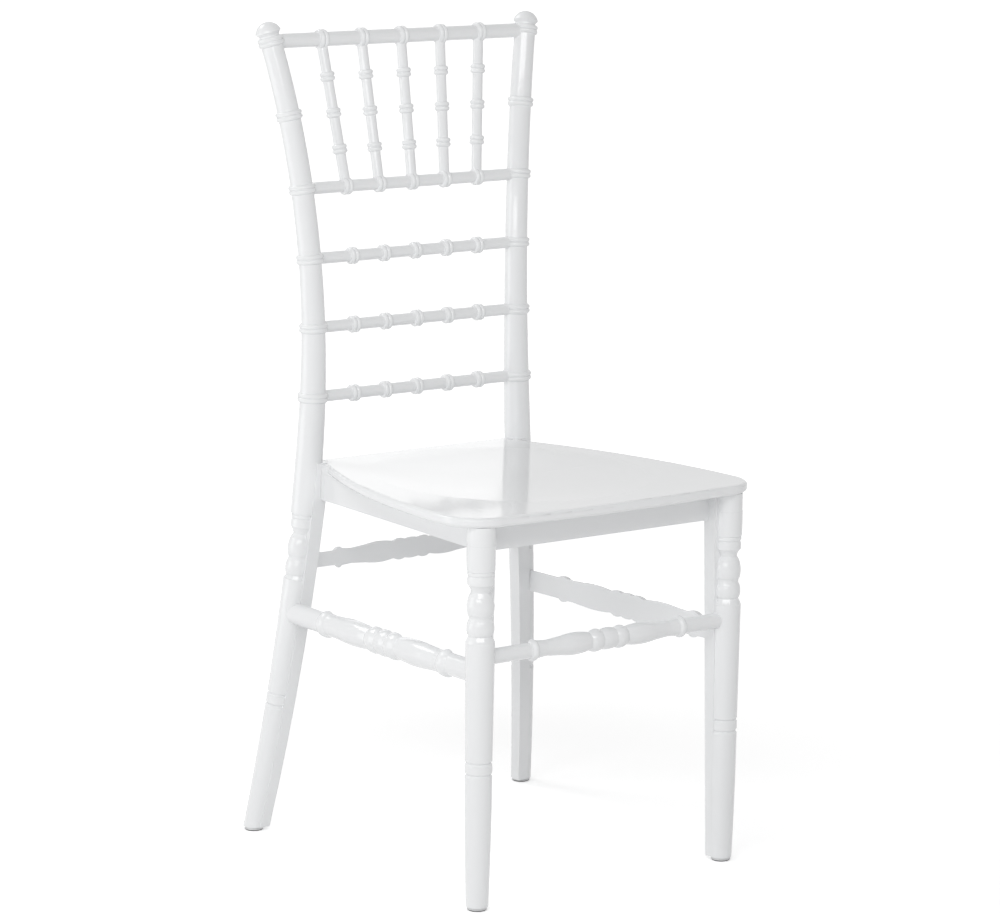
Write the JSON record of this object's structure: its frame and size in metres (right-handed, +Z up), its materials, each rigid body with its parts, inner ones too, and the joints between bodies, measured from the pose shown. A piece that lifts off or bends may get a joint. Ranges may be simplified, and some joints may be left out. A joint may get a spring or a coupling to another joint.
{
  "type": "chiavari chair",
  "caption": "Slim white banquet chair with turned legs, ringed back rungs and spindles, and a dished solid seat.",
  "frame": {"origin": "on the floor, under the middle of the chair's overall box", "axes": "+Z up, +X towards the sitter's left, -Y towards the front of the seat"},
  "size_m": [0.4048, 0.4342, 0.9151],
  "materials": {
    "gloss_resin": "glossy white moulded resin",
    "block_resin": "plain moulded white resin",
    "glide_rubber": "dark moulded rubber",
    "fastener_steel": "zinc-plated steel"
  },
  "bodies": {
    "root": {"rear_post_left": "gloss_resin", "rear_post_right": "gloss_resin", "finial_left": "gloss_resin", "finial_right": "gloss_resin", "top_rail": "gloss_resin", "spindle_rail": "gloss_resin", "back_rung_upper": "gloss_resin", "back_rung_middle": "gloss_resin", "back_rung_lower": "gloss_resin", "back_spindle_1": "gloss_resin", "back_spindle_2": "gloss_resin", "back_spindle_3": "gloss_resin", "back_spindle_4": "gloss_resin", "back_spindle_5": "gloss_resin", "seat_panel": "gloss_resin", "front_apron": "gloss_resin", "rear_apron": "gloss_resin", "left_apron": "gloss_resin", "right_apron": "gloss_resin", "front_left_corner_block": "block_resin", "front_right_corner_block": "block_resin", "rear_left_corner_block": "block_resin", "rear_right_corner_block": "block_resin", "front_leg_left": "gloss_resin", "front_leg_right": "gloss_resin", "front_stretcher": "gloss_resin", "rear_stretcher": "gloss_resin", "side_stretcher_left": "gloss_resin", "side_stretcher_right": "gloss_resin", "front_left_glide": "glide_rubber", "front_right_glide": "glide_rubber", "rear_left_glide": "glide_rubber", "rear_right_glide": "glide_rubber", "corner_bolts": "fastener_steel", "seat_screws": "fastener_steel"}
  },
  "joints": []
}
